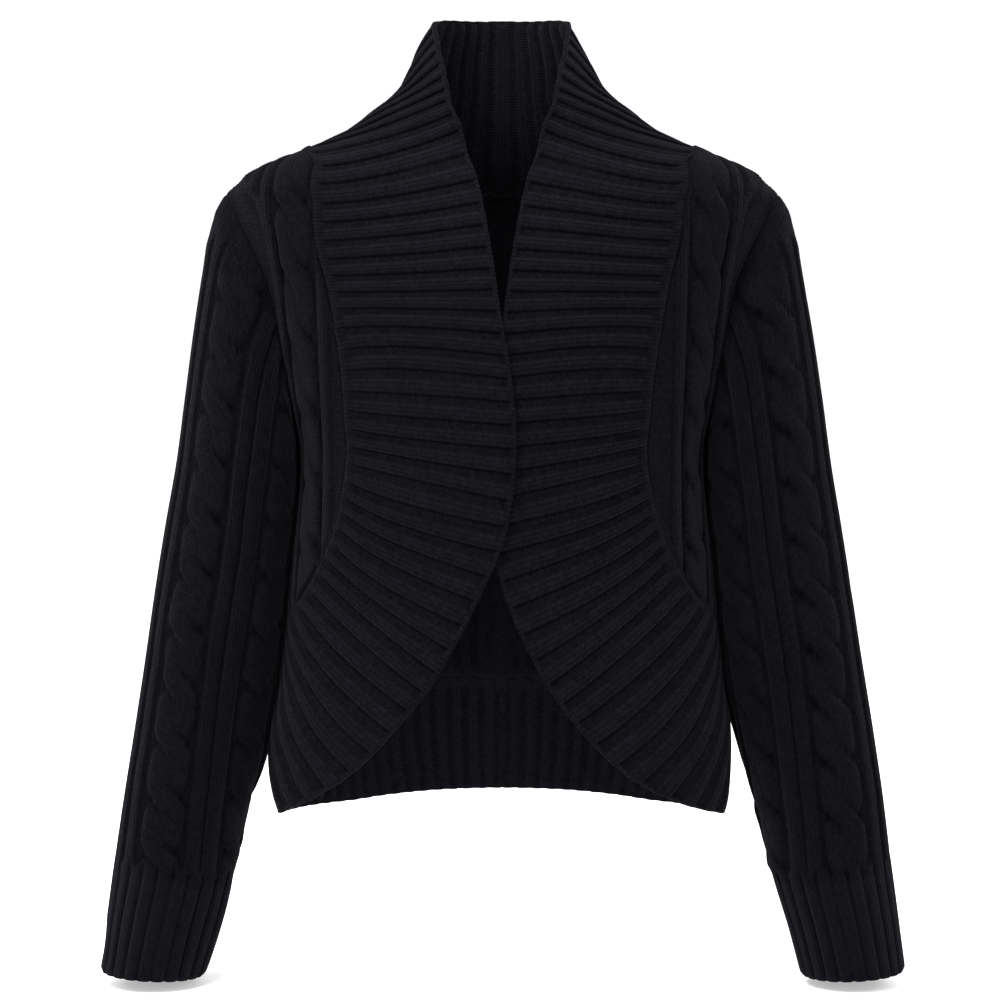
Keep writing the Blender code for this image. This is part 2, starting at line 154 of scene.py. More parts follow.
# ---- the knit
WALE = 2.6  # width of one column of stitches
COURSE = 2.1  # height of one row of stitches
GROUND = -2.2  # depth of the purl ground under the ribs' tops
TROUGH = -1.9  # depth of the purl between the band's ribs
LIFT = 0.9  # how far the ribs' tops stand proud of the CAD solids
SEAM_LEVEL = -0.9  # depth of the cloth's outside at a seam
SEAM_GROOVE = 1.5  # and how much deeper its line of stitches lies
GROOVE_LEFT = 0.15  # share of that which is left below the waist, beside the band
WAIST = (-285.0, -235.0)  # heights over which it fades
ARMHOLE_GROOVE = 0.4  # the same at the armhole
LINE_HALF = 1.1  # half width of a line of stitches, or of the gap beside a cable
SEAM_WIDTH = 3.5  # how far from a seam the knit's relief is whole again
BAND_SEAM_WIDTH = 1.6  # the same on the band
UNDERARM_WIDTH = 3.0  # under the arm
INSIDE_WIDTH = 2.5  # and inside
WAYS_TURN = 8.0  # how far from the armhole the ways through the cloth turn to its seam's
BACK_OF_RIB = -2.6  # depth of the cloth's inside behind a rib
BACK_OF_GROUND = -4.2  # behind the ground
BACK_AT_SEAM = -3.5


class Curve:
    """Columns of a table at a key, on curves through its rows that never overshoot."""

    def __init__(self, rows):
        table = np.array(rows, float)
        if table[0, 0] > table[-1, 0]:
            table = table[::-1]
        self.keys, self.values = table[:, 0], table[:, 1:]
        rise = np.diff(self.values, axis=0) / np.diff(self.keys)[:, None]
        before, after = rise[:-1], rise[1:]
        together = before + after
        safe = np.where(before * after > 0, together, 1.0)
        middle = np.where(before * after > 0, 2 * before * after / safe, 0.0)
        self.slopes = np.vstack([rise[:1], middle, rise[-1:]])

    def __call__(self, key):
        key = np.clip(np.asarray(key, float), self.keys[0], self.keys[-1])
        i = np.minimum(np.searchsorted(self.keys[1:], key), len(self.keys) - 2)
        span = (self.keys[i + 1] - self.keys[i])[..., None]
        t = (key - self.keys[i])[..., None] / span
        a, b = self.values[i], self.values[i + 1]
        rise_a, rise_b = self.slopes[i] * span, self.slopes[i + 1] * span
        found = (a * (1 + 2 * t) * (1 - t) ** 2 + b * t * t * (3 - 2 * t)
                 + rise_a * t * (1 - t) ** 2 - rise_b * t * t * (1 - t))
        return np.moveaxis(found, -1, 0)


FORM, BAND, BOW, SLEEVE = (Curve(rows) for rows in (FORM_ROWS, BAND_ROWS, BOW_ROWS, SLEEVE_ROWS))


def unit(v):
    return v / np.maximum(np.linalg.norm(v, axis=-1, keepdims=True), 1e-9)


def ease(value, start, end):
    t = np.clip((value - start) / (end - start), 0.0, 1.0)
    return t * t * (3 - 2 * t)


def fade(value, width):
    """1 at 0 and below, down to 0 at a width."""
    return 1 - ease(value, 0.0, width)


def blend(a, b, share):
    return a * (1 - share) + b * share


def stack(*parts):
    return np.stack(np.broadcast_arrays(*parts), -1)


def length_of(v):
    return np.linalg.norm(v, axis=-1)


def running(steps, axis=-1):
    """Sums of the steps so far, from 0."""
    return np.insert(np.cumsum(steps, axis), 0, 0.0, axis)


def form_point(phi, z, side):
    """Points of the form at angles and heights, on the right or the left."""
    half_width, front, back = FORM(z)
    angle = np.radians(phi)
    depth = np.where(np.cos(angle) > 0, front, back)
    return stack(-side * half_width * np.sin(angle), -depth * np.cos(angle), z)


def form_normal(phi, z, side):
    """The directions straight out of the form."""
    round_it = form_point(phi + PHI_STEP, z, side) - form_point(phi - PHI_STEP, z, side)
    up_it = form_point(phi, z + Z_STEP, side) - form_point(phi, z - Z_STEP, side)
    return unit(np.cross(up_it, round_it) * side)


def lap(point, side):
    """How far a front stands out from the form where the right one laps over the left."""
    within = 1 - ease(np.abs(point[..., 0]), *LAP_WIDTHS)
    under_neck = 1 - ease(point[..., 2], *LAP_HEIGHTS)
    return np.where(point[..., 1] < 0, side * LAP_OFFSET * within * under_neck, 0.0)


def on_form(phi, z, side):
    """Outer points of the cloth and the ways through it."""
    point = form_point(phi, z, side)
    normal = form_normal(phi, z, side)
    return point + normal * lap(point, side)[..., None], normal


def seam_place(rib, side):
    row = BAND(rib)
    return row[0] - (row[4] if side == LEFT else 0), row[1]


def edge_place(rib, side):
    row = BAND(rib)
    phi, z = row[2], row[3]
    if side == LEFT:
        seam_phi, seam_z = seam_place(rib, side)
        length = length_of(form_point(phi, z, side) - form_point(seam_phi, seam_z, side))
        longer = 1 + row[5] / length
        phi = seam_phi + (phi - seam_phi) * longer
        z = seam_z + (z - seam_z) * longer
    return phi, z


def band_place(rib, t, side):
    """Places of the band, t of the way from its seam to its free edge."""
    (seam_phi, seam_z), (edge_phi, edge_z) = seam_place(rib, side), edge_place(rib, side)
    bow = BOW(rib)[0] * np.sin(np.pi * np.clip(t, 0, 1) ** 0.8)
    return seam_phi + (edge_phi - seam_phi) * t, seam_z + (edge_z - seam_z) * t + bow


def armhole_place(turn, front):
    """The armhole at turns from 0, its top, to 1, under the arm; front is 1, or -1 at the back."""
    psi = np.pi * turn
    middle = (ARMHOLE_TOP + ARMHOLE_FOOT) / 2
    z = middle + (ARMHOLE_TOP - middle) * np.cos(psi)
    bow = ARMHOLE_SPREAD * np.sin(psi) * (1 + ARMHOLE_LEAN * np.cos(psi))
    return SIDE_PHI - front * bow, z


def sleeve_ellipse(ring, psi, side):
    outer_x, outer_z, inner_x, inner_z, centre_y, half_depth = SLEEVE(ring)
    outer = stack(side * outer_x, centre_y, outer_z)
    inner = stack(side * inner_x, centre_y, inner_z)
    middle = (outer + inner) / 2
    forward = stack(0, -half_depth, 0)
    return middle + (outer - middle) * np.cos(psi)[..., None] + forward * np.sin(psi)[..., None]


def sleeve_point(ring, psi, side):
    """Points of the sleeve, whose cap takes the shape of the armhole."""
    ring, psi = np.broadcast_arrays(np.asarray(ring, float), np.asarray(psi, float))
    psi = np.mod(psi, 2 * np.pi)
    front = np.where(psi <= np.pi, 1, -1)
    turn = np.where(front > 0, psi, 2 * np.pi - psi) / np.pi
    armhole = form_point(*armhole_place(turn, front), side)
    from_plain = armhole - sleeve_ellipse(np.zeros_like(psi), psi, side)
    point = sleeve_ellipse(ring, psi, side)
    point = point + from_plain * fade(ring, RINGS_OF_CAP)[..., None]
    return clear_of_body(point, ring, side)


def clear_of_body(point, ring, side):
    """Dent the sleeve where its side would press into the body, and leave a narrow gap."""
    half_width, front, back = FORM(point[..., 2])
    reach = point[..., 1] / np.where(point[..., 1] > 0, back, front)
    body_x = half_width * np.sqrt(np.maximum(1 - reach * reach, 0.0))
    still_closing = np.maximum(1 - ring / RINGS_TO_CLEAR, 0.0)
    gap = np.maximum(SIDE_CLEARANCE * (1 - still_closing ** 2), 1e-4)
    outside = -side * point[..., 0] - body_x - gap
    dented = gap * np.log1p(np.exp(-np.abs(outside) / gap)) + np.maximum(outside, 0.0)
    return stack(-side * (body_x + gap + dented), point[..., 1], point[..., 2])


def sleeve_normal(ring, psi, side):
    """The directions straight out of the sleeve."""
    low, high = np.maximum(ring - RING_STEP, 0), np.minimum(ring + RING_STEP, RING_WRIST)
    along = sleeve_point(high, psi, side) - sleeve_point(low, psi, side)
    round_it = sleeve_point(ring, psi + PSI_STEP, side) - sleeve_point(ring, psi - PSI_STEP, side)
    return unit(np.cross(along, round_it) * side)


def armhole_way(turn, front, side):
    """The way through the cloth at the armhole seam, halfway between body and sleeve."""
    body = form_normal(*armhole_place(turn, front), side)
    middle = unit(body + sleeve_normal(np.zeros_like(turn), front * np.pi * turn, side))
    return middle / np.maximum((middle * body).sum(-1, keepdims=True), LEAST_MITRE)


# ---- relief of the knit
RIB_MIDDLE = 0.69  # of the way from one groove to the next
RIB_HALF = 0.33
RIB_FLATNESS, RIB_ROUNDNESS = 2.6, 0.62
RIB_UNEVEN = 0.05
PURL_FROM = 0.97  # of the rib's half, where the purl beside it begins
GROOVE_EXTRA = 0.6
GROOVE_HALF = 0.065
CUFF_SAG = 0.5  # how far a cuff's rib falls from its middle to its side
CUFF_GROOVE = 1.6
CUFF_GROOVE_HALF = 0.24
CUFF_UNEVEN = 0.1
STRIP_UNEVEN = 0.04
ON_RIB = 0.02  # above this a place is knit, not purl
UNEVEN = np.random.default_rng(SEED).normal(0, 1, 256)


def unevenness(key, salt):
    """A small steady number for each rib or strand."""
    return UNEVEN[(np.floor(key).astype(int) * 7 + salt * 31) % len(UNEVEN)]


def ribbing(rib):
    """Height and purl of the band's ribs: a groove at each whole number, then purl, then rib."""
    part = rib - np.floor(rib)
    across = np.abs(part - RIB_MIDDLE) / RIB_HALF
    bump = np.clip(1 - across ** RIB_FLATNESS, 0, 1) ** RIB_ROUNDNESS
    bump = bump * (1 + RIB_UNEVEN * unevenness(rib, 1))
    to_groove = np.minimum(part, 1 - part) / GROOVE_HALF
    height = TROUGH * (1 - bump) - GROOVE_EXTRA * np.exp(-to_groove ** 2)
    return height, (across > PURL_FROM).astype(float)


def cuff_ribbing(rib):
    """Height of the cuffs' broad ribs, which have a narrow groove at each whole number."""
    part = rib - np.floor(rib)
    off_middle = np.abs(part - 0.5) / 0.5
    groove = np.exp(-((1 - off_middle) / CUFF_GROOVE_HALF) ** 2)
    return -CUFF_SAG * off_middle ** 2 - CUFF_GROOVE * (groove * (1 + CUFF_UNEVEN * unevenness(rib, 3)))


TWIST_SNAP = 1.0  # how much faster than evenly the strands of a cable cross
STRAND_SWING = 0.37  # how far a strand's middle swings, and half its width, over the cable's half
STRAND_HALF = 0.66
STRAND_THICK = 2.6
STRAND_LIFT = 1.3
MEETING = 0.9  # depth of the line where one strand dives under the other
MEETING_HEIGHT = 0.8  # and how near in height the strands are there
SIDE_GROOVE = 1.2  # depth of the gap beside a cable
SIDE_GROOVE_OFF = 1.0  # and how far from the cable it lies
CABLE_PURL = 0.4  # how much the twisted stitches of a cable look like bumps
PLAIN_PURL = 0.45  # and those of the plain knit on and beside the cap


def strand_middle(z, half, pitch, crossing, strand):
    """Where a cable's strand runs, and how far it lies over or under the other."""
    t = (crossing - z) / pitch
    angle = np.pi * (t + TWIST_SNAP * np.sin(2 * np.pi * t) / (2 * np.pi)) + np.pi / 2 + np.pi * strand
    return -STRAND_SWING * half * np.cos(angle), np.sin(angle)


def rope(x, z, half, pitch, crossing):
    """Height of a two-strand cable over the ground, and which strand shows."""
    heights = []
    for strand in (0, 1):
        middle, over = strand_middle(z, half, pitch, crossing, strand)
        left = 1 - (np.abs(x - middle) / (STRAND_HALF * half)) ** 3
        height = STRAND_THICK * np.sqrt(np.maximum(left, 0)) + STRAND_LIFT * over
        heights.append(np.where(left > 0, height, 0.0))
    strand = np.argmax(heights, axis=0)
    meet = np.exp(-((heights[0] - heights[1]) / MEETING_HEIGHT) ** 2) * (np.minimum(*heights) > 0)
    return np.maximum(np.maximum(*heights) - MEETING * meet * np.abs(over), 0.0), strand


class Strips:
    """Ribs and cables side by side on one piece. A rib is (centre, half width), a cable is
    (centre, half width, pitch, height of a crossing); turned is 1 where the strip coordinate
    runs to the viewer's right when the cloth is seen from outside."""

    def __init__(self, ribs, cables, turned):
        self.ribs, self.cables, self.turned = ribs, cables, turned

    def height(self, s, z):
        level = np.full(np.broadcast(s, z).shape, GROUND)
        purl = np.ones_like(level)
        for n, (centre, half) in enumerate(self.ribs):
            left = 1 - (np.abs(s - centre) / half) ** 3
            bump = np.sqrt(np.maximum(left, 0)) * (1 + STRIP_UNEVEN * UNEVEN[n])
            level = np.maximum(level, GROUND * (1 - bump))
            purl = np.where(left > ON_RIB, 0.0, purl)
        for centre, half, pitch, crossing in self.cables:
            x = (s - centre) * self.turned
            rise, _ = rope(x, z, half, pitch, crossing)
            level = np.maximum(level, GROUND + rise)
            beside = np.abs(x) - half - SIDE_GROOVE_OFF
            level = level - SIDE_GROOVE * np.exp(-(beside / LINE_HALF) ** 2)
            purl = np.where(rise > 0.05, CABLE_PURL, purl)
        return level, purl

    def uv(self, sheet):
        """Columns and rows of stitches at triangles' corners. Each keeps to one rib or strand."""
        s, v, z = (values[sheet.tris] for values in (sheet.s, sheet.v, sheet.z))
        mid_s, mid_z = s.mean(1, keepdims=True), z.mean(1, keepdims=True)
        wale = s / WALE
        for centre, half in self.ribs:
            odd = round(2 * half / WALE) % 2
            wale = np.where(np.abs(mid_s - centre) < half, (s - centre) / WALE + 0.5 * odd, wale)
        for centre, half, pitch, crossing in self.cables:
            x = (mid_s - centre) * self.turned
            _, top = rope(x, mid_z, half, pitch, crossing)
            for strand in (0, 1):
                middle, _ = strand_middle(z, half, pitch, crossing, strand)
                here = (np.abs(x) < half) & (top == strand)
                wale = np.where(here, (s - centre - middle * self.turned) / WALE, wale)
        return stack(wale, v / COURSE)


def inside_level(level):
    """Depth of the cloth's inside for the height of its outside."""
    ground = np.clip(level / GROUND, 0, 1.0)
    return BACK_OF_RIB + (BACK_OF_GROUND - BACK_OF_RIB) * ground


def sewn(level, d, width, groove=SEAM_GROOVE):
    """Bring the cloth's outside to the level of a seam that is d away."""
    level = level + (SEAM_LEVEL - level) * fade(d, width)
    return level - groove * np.exp(-(d / LINE_HALF) ** 2)


def seam_groove(z):
    return SEAM_GROOVE * (GROOVE_LEFT + (1 - GROOVE_LEFT) * ease(z, *WAIST))


def sewn_inside(inner, d):
    return inner + (BACK_AT_SEAM - inner) * fade(d, INSIDE_WIDTH)


# ---- soft creases
# from (x, y, z) to (x, y, z), width, height; a trough where the height is below zero
CREASES = (
    (-176, -80, -190, -215, -45, -225, 11, -3.0), (-170, -90, -215, -214, -48, -262, 10, -2.2),
    (-250, -30, -300, -185, -38, -330, 14, -2.6), (-255, -25, -345, -190, -36, -362, 12, 2.0),
    (-262, -25, -385, -200, -34, -398, 13, -2.2), (-275, -20, -470, -215, -30, -455, 15, 1.8),
    (178, -80, -186, 216, -44, -232, 12, -2.8), (172, -92, -222, 214, -50, -270, 9, -2.0),
    (252, -28, -312, 186, -38, -336, 13, -2.4), (258, -24, -352, 192, -36, -376, 13, 1.8),
    (266, -24, -402, 204, -33, -408, 12, -2.0), (276, -20, -478, 216, -30, -468, 14, 1.6),
    # fuller outer line of the left sleeve, and inner line of the right cuff
    (226, 6, -110, 262, 12, -330, 34, 2.6), (262, 12, -330, 290, -2, -540, 34, 3.0),
    (-206, -2, -545, -226, -10, -620, 26, 4.0), (-296, -6, -575, -303, -10, -620, 22, -2.0),
    # shoulders over the armholes, the collar's top and the corners of the hem
    (-176, 0, -12, -216, 0, -52, 20, 2.6), (176, 0, -12, 218, 0, -56, 20, 3.0),
    (-195, 0, -30, -208, 0, -46, 9, 2.8), (195, 0, -30, 208, 0, -46, 9, 2.4),
    (-47, 5, 102, -66, 5, 62, 16, 3.4), (47, 5, 102, 52, 5, 88, 14, 2.0),
    (-173, 0, -428, -168, 0, -490, 26, 3.8), (-166, -26, -492, -166, 26, -492, 16, 2.8),
    (166, -26, -492, 166, 26, -492, 16, 2.8), (-166, -26, -510, -166, 26, -510, 5, -5.0),
    (166, -26, -510, 166, 26, -510, 5, -5.0),
)
CREASE_TIP = 0.1  # how much of the half wave along a crease is cut off at each end


def creased(point, normal):
    """Move points along their normals by the creases near them."""
    moved = np.zeros(point.shape[:-1])
    for *ends, width, height in CREASES:
        a, b = np.array(ends, float).reshape(2, 3)
        way = b - a
        t = np.clip(((point - a) @ way) / (way @ way), 0, 1)
        away = length_of(point - (a + t[..., None] * way))
        swell = np.sin(np.pi * (t * (1 - 2 * CREASE_TIP) + CREASE_TIP))
        moved += height * swell * np.exp(-(away / width) ** 2)
    return point + normal * moved[..., None]


# ---- meshes
SHARP = math.radians(65)

# one surface of a piece; ids are the vertices that its points are, since a wrapped grid has its first
# column twice
Sheet = namedtuple("Sheet", "points ways s v z level purl tris ids")


def facing(points, tris, ways):
    """True where the triangles' normals follow the ways."""
    a, b, c = (points[tris[:, n]] for n in range(3))
    return (np.cross(b - a, c - a) * ways[tris[:, 0]]).sum() > 0


def grid_triangles(rows, columns):
    index = np.arange(rows * columns).reshape(rows, columns)
    a = index[:-1, :-1].ravel()
    opposite = a + columns + 1
    return np.concatenate([stack(a, a + 1, opposite), stack(a, opposite, opposite - 1)])


def rim_triangles(tris, partner, offset):
    """Triangles from the outer surface's border to every second vertex of the inner one's."""
    count = len(partner)
    start, end = tris.T.ravel(), np.roll(tris, -1, 1).T.ravel()
    border = ~np.isin(start * count + end, end * count + start)
    after, before = np.full(count, -1), np.full(count, -1)
    after[start[border]] = end[border]
    before[end[border]] = start[border]
    middle = np.nonzero((after >= 0) & (partner < 0))[0]
    p, n = before[middle], after[middle]
    inner_p, inner_n = partner[p] + offset, partner[n] + offset
    assert (partner[p] >= 0).all() and (partner[n] >= 0).all()
    sides = stack(middle, p, inner_p), stack(n, middle, inner_n)
    return np.concatenate([*sides, stack(middle, inner_p, inner_n)])


# how many rings of neighbours a vertex is measured against, for each knit, to place the painted shade in
# the knit's grooves
HOLLOW_STEPS = {"rib_knit_yarn": 12, "cable_knit_yarn": 6}
HOLLOW_DEPTH = 1.7
HOLLOW_DEPTH_INSIDE = 1.2


def hollow_shade_mask(tris, level, steps, facing_out):
    """How far each vertex lies sunk into its own face of the cloth, against the mean of its neighbours,
    from 0 to 1: the mask of the shade painted into the knit's grooves.
    """
    edges = np.concatenate([tris[:, :2], tris[:, 1:], tris[:, ::2]])
    a, b = edges[:, 0], edges[:, 1]
    count = len(level)
    degree = np.maximum(np.bincount(edges.ravel(), minlength=count), 1)
    around = level
    for _ in range(steps):
        around = (np.bincount(a, around[b], count) + np.bincount(b, around[a], count)) / degree
    if facing_out:
        return np.clip((around - level) / HOLLOW_DEPTH, 0, 1)
    return np.clip((level - around) / HOLLOW_DEPTH_INSIDE, 0, 1)


def welded(sheet, values):
    """Values at a sheet's vertices."""
    found = np.zeros((sheet.ids.max() + 1, *values.shape[1:]))
    found[sheet.ids] = values
    return found


def make_piece(name, material, outer, inner, partner, uv_of):
    """A closed shell from an outer and an inner surface."""
    blocks = []
    for sheet, out in ((outer, True), (inner, False)):
        parts = (sheet.points, sheet.ways, sheet.level, sheet.purl)
        points, ways, level, purl = (welded(sheet, part) for part in parts)
        real, uv = sheet.ids[sheet.tris], uv_of(sheet)
        if facing(points, real, ways) != out:
            real, uv = real[:, ::-1], uv[:, ::-1]
        looks = {
            "purl": purl if out else 1 - purl,
            # mask of the painted shade in the knit's grooves
            "hollow": hollow_shade_mask(real, level, HOLLOW_STEPS[material.name], out),
            # marks the inside, whose colour gets painted light
            "inside": np.full(len(purl), 0.0 if out else 1.0),
        }
        blocks.append((points, real, uv, looks))
    points, tris, uv, looks = (list(column) for column in zip(*blocks))
    offset = len(points[0])
    rim = rim_triangles(tris[0], partner, offset)
    tris[1] = tris[1] + offset
    points = np.concatenate(points) * MM
    flat_uv = np.zeros((len(points), 2))
    for part, its_uv in zip(tris, uv):
        flat_uv[part] = its_uv
    uv = np.concatenate([*uv, flat_uv[rim]]).astype(np.float32)
    mesh = bpy.data.meshes.new(name)
    mesh.from_pydata(points.tolist(), [], np.concatenate([*tris, rim]).tolist())
    mesh.uv_layers.new(name="UVMap").data.foreach_set("uv", uv.ravel())
    for key in looks[0]:
        values = np.concatenate([part[key] for part in looks]).astype(np.float32)
        mesh.attributes.new(key, "FLOAT", "POINT").data.foreach_set("value", values)
    mesh.materials.append(material)
    mesh.shade_smooth()
    mesh.set_sharp_from_angle(angle=SHARP)
    return placed(name, mesh)


def placed(name, data):
    item = bpy.data.objects.new(name, data)
    bpy.context.scene.collection.objects.link(item)
    return item


def grid_piece(name, material, fields, wrapped, uv_of):
    """A piece from fields on a grid, the inside with every second row and column."""
    points, ways, s, v, z, level, inner, purl = fields
    surfaces = []
    for step, depth in ((1, level + LIFT), (2, inner)):
        moved = points + ways * depth[..., None]
        parts = [part[::step, ::step] for part in (moved, ways, s, v, z, depth, purl)]
        rows, columns = parts[2].shape
        ids = np.arange(rows * (columns - wrapped)).reshape(rows, -1)
        flat = [part.reshape(-1, *part.shape[2:]) for part in parts]
        every = np.concatenate([ids, ids[:, :1]], 1) if wrapped else ids
        surfaces.append(Sheet(*flat, grid_triangles(rows, columns), every.ravel()))
    partner = np.full((s.shape[0], s.shape[1] - wrapped), -1)
    partner[::2, ::2] = ids
    return make_piece(name, material, *surfaces, partner.ravel(), uv_of)


# ---- band, hem and cuffs
RIB_SAMPLES = 16
WALES_IN_RIB = 5
EDGE_ROUND = 1.6
BACK_AT_EDGE = -3.0
BAND_SCALLOP, CUFF_SCALLOP = 0.3, 0.7
SCALLOP_REACH = 9.0
CHAIN_LINE = 4.4  # distance of the picked-up chain's middle from the seam
CHAIN_HALF = 2.4
CHAIN_SLANT = 8.0  # its loops slant by one rib over this distance
CHAIN_LOW, CHAIN_HIGH, CHAIN_LOOPS = -1.9, 1.0, 1.1
CHAIN_ENDS, CHAIN_SOFT = 6.0, 3.5
BOUND_EDGE, CUFF_BOUND = 1.8, 1.5  # widths of the bound free edges
BOUND_SOFT = 2.0
BOUND_LEVEL, CUFF_BOUND_LEVEL = -0.4, -0.5
BEAD = 0.2  # height of its single stitches


def across_stations(steps, length):
    """Stations from the seam at 0 to the free edge at 1, closer together near both."""
    near = [0, 0.7, 1.5, 2.4, 3.6, 5.0]
    middle = np.linspace(7.5, length - 7.5, steps + 1 - 2 * len(near))
    ends = [length - d for d in reversed(near)]
    return np.array([*near, *middle, *ends]) / length


def chain(d, along):
    """Height of the picked-up chain of slanting loops beside the band's seam."""
    link = 0.5 + 0.5 * np.cos(2 * np.pi * (along - d / CHAIN_SLANT))
    ridge = np.exp(-((d - CHAIN_LINE) / CHAIN_HALF) ** 2)
    return CHAIN_LOW + ridge * (CHAIN_HIGH + CHAIN_LOOPS * link)


def band_level(rib, z, d_seam, d_edge):
    """Height and purl of the band, with the chain at its seam and its bound edge."""
    level, purl = ribbing(rib)
    at_seam = fade(d_seam - CHAIN_ENDS, CHAIN_SOFT)
    level = sewn(blend(level, chain(d_seam, rib), at_seam), d_seam, BAND_SEAM_WIDTH, seam_groove(z))
    bound = fade(d_edge - BOUND_EDGE, BOUND_SOFT)
    bead = BEAD * np.cos(2 * np.pi * rib * WALES_IN_RIB)
    level = blend(level, BOUND_LEVEL + bead, bound)
    return rounded(level, d_edge), purl * (1 - at_seam) * (1 - bound)


def rounded(level, d_edge):
    """Round the cloth off at a free edge."""
    round_off = np.clip(EDGE_ROUND - d_edge, 0, EDGE_ROUND)
    return level - (EDGE_ROUND - np.sqrt(EDGE_ROUND ** 2 - round_off ** 2)) * 0.9


def band_inside(level, d_seam, d_edge):
    inner = sewn_inside(inside_level(level), d_seam)
    return inner + (BACK_AT_EDGE - inner) * fade(d_edge, 3.0)


def scalloped(points, level, d_edge, by):
    """Draw a free edge out a little at its ribs."""
    outward = unit(points[:, -1:] - points[:, -2:-1])
    reach = by * (level / -TROUGH + 0.5) * fade(d_edge, SCALLOP_REACH)
    return points + outward * reach[..., None]


def band_fields(ribs, stations, side):
    rib, t = np.meshgrid(ribs, stations, indexing="ij")
    points, ways = on_form(*band_place(rib, t, side), side)
    d_seam = running(length_of(np.diff(points, axis=1)))
    d_edge = d_seam[:, -1:] - d_seam
    points = scalloped(points, ribbing(rib)[0], d_edge, BAND_SCALLOP)
    level, purl = band_level(rib, points[..., 2], d_seam, d_edge)
    inner = band_inside(level, d_seam, d_edge)
    return [creased(points, ways), ways, rib, d_seam, points[..., 2], level, inner, purl]


def rib_uv(sheet):
    return stack(sheet.s * WALES_IN_RIB, sheet.v / COURSE)[sheet.tris]


def rib_rows(start, end):
    count = int(round((end - start) * RIB_SAMPLES / 2)) * 2
    return np.linspace(start, end, count + 1)


def front_band(side, name, material):
    stations = across_stations(steps=36, length=118)
    ribs = rib_rows(RIB_CENTRE_NECK, RIB_BAND_END)
    return grid_piece(name, material, band_fields(ribs, stations, side), False, rib_uv)


def hem_band(name, material):
    stations = across_stations(steps=30, length=96)
    ribs = rib_rows(RIB_BAND_END, RIB_CENTRE_HEM)
    halves = [band_fields(ribs, stations, side) for side in (RIGHT, LEFT)]
    halves[1][2] = 2 * RIB_CENTRE_HEM - halves[1][2]
    fields = [np.concatenate([right, left[-2::-1]]) for right, left in zip(*halves)]
    return grid_piece(name, material, fields, False, rib_uv)


# ---- sleeves
ARM_WAY = unit(np.array((-0.15, 0.0, -0.99)))
SLEEVE_RIBS = ((0, 5.6), (15.0, 5.6), (30.0, 5.6), (81.8, 5.9), (96.0, 6.4), (146, 4.5))
SLEEVE_CABLES = ((56.8, 16.4), (121.0, 15.0))
SLEEVE_SHIFT = {RIGHT: 0.0, LEFT: 2.6}
SLEEVE_PITCH = 41.3
CROSSING = {RIGHT: -152.0, LEFT: -124.0}
PLAIN_ABOVE = (-104.0, -92.0)  # heights over which the cables turn to the cap's plain knit
CAP_RIBS_WITHIN = 38.0
CAP_PLAIN_ABOVE = (-74.0, -62.0)  # the same for its ribs
SLEEVE_STEP = 3.0  # between the rows of a sleeve, and of a cuff
CUFF_STEP = 2.6
CUFF_RIB_SAMPLES = 12
SLEEVE_COLUMNS = 248
CAP_RING = 4.0  # above this ring the wales run straight up to the armhole
CUFF_RIBS = 22
CUFF_PHASE = 0.15
CUFF_RUNS_UP = 5.0  # how far the cuff's ribs go on over the sleeve's end
CUFF_SOFT = 8.0
PLAIN_LEVEL = GROUND + 1.2
STRAIGHT_WITHIN = 108.0  # so far from the sleeve's outer line the columns follow the wales


def ring_arcs(ring, side, samples=721):
    """Distance round the arm from its outer line, at even angles, for each ring."""
    psi = np.linspace(-np.pi, np.pi, samples)
    points = sleeve_point(ring[:, None], psi[None, :], side)
    way = ARM_WAY * (side, 1, 1)
    step = np.diff(points, axis=1)
    step = step - (step @ way)[..., None] * way
    length = running(length_of(step))
    return psi, length - length[:, samples // 2, None]


def on_both_sides(rows, shift=0.0, *rest):
    """The rows, each but one at 0 followed by its mirror image."""
    mirrored = [(place * way, half) for place, half in rows for way in ((1, -1) if place else (1,))]
    return [(place - shift, half, *rest) for place, half in mirrored]


def sleeve_columns(psi, arcs, cap):
    """Angles of the columns: along the wales below the cap's row, as in that row above it."""
    wanted = np.linspace(-1, 1, SLEEVE_COLUMNS + 1) * min(-arcs[cap, 0], arcs[cap, -1])
    straight = np.clip(wanted, -STRAIGHT_WITHIN, STRAIGHT_WITHIN)
    over = np.clip((np.abs(wanted) - STRAIGHT_WITHIN) / (wanted[-1] - STRAIGHT_WITHIN), 0, 1)
    table = []
    for arc in arcs[cap:]:
        end = np.where(wanted > 0, arc[-1], -arc[0])
        goal = straight + np.sign(wanted) * over * (end - STRAIGHT_WITHIN)
        angles = np.interp(goal, arc, psi)
        angles[0], angles[-1] = -np.pi, np.pi
        table.append(angles)
    return np.array([table[0]] * cap + table)


def tube_rows(first, last, spacing, side):
    """Rings spaced evenly along the arm, and their distances from the first one."""
    ring = np.linspace(first, last, 400)
    quarters = (0, np.pi / 2, -np.pi / 2, np.pi)
    line = np.stack([sleeve_point(ring, np.full_like(ring, psi), side) for psi in quarters])
    length = running(length_of(np.diff(line, axis=1)).mean(0))
    count = int(round(length[-1] / spacing / 2)) * 2
    along = np.linspace(0, length[-1], count + 1)
    return np.interp(along, length, ring), along


def on_tube(ring, along, psi, side):
    """Points, ways through the cloth and lengths along the arm, at the angles of each ring."""
    rings, lengths = (np.repeat(column[:, None], psi.shape[1], 1) for column in (ring, along))
    return sleeve_point(rings, psi, side), sleeve_normal(rings, psi, side), lengths


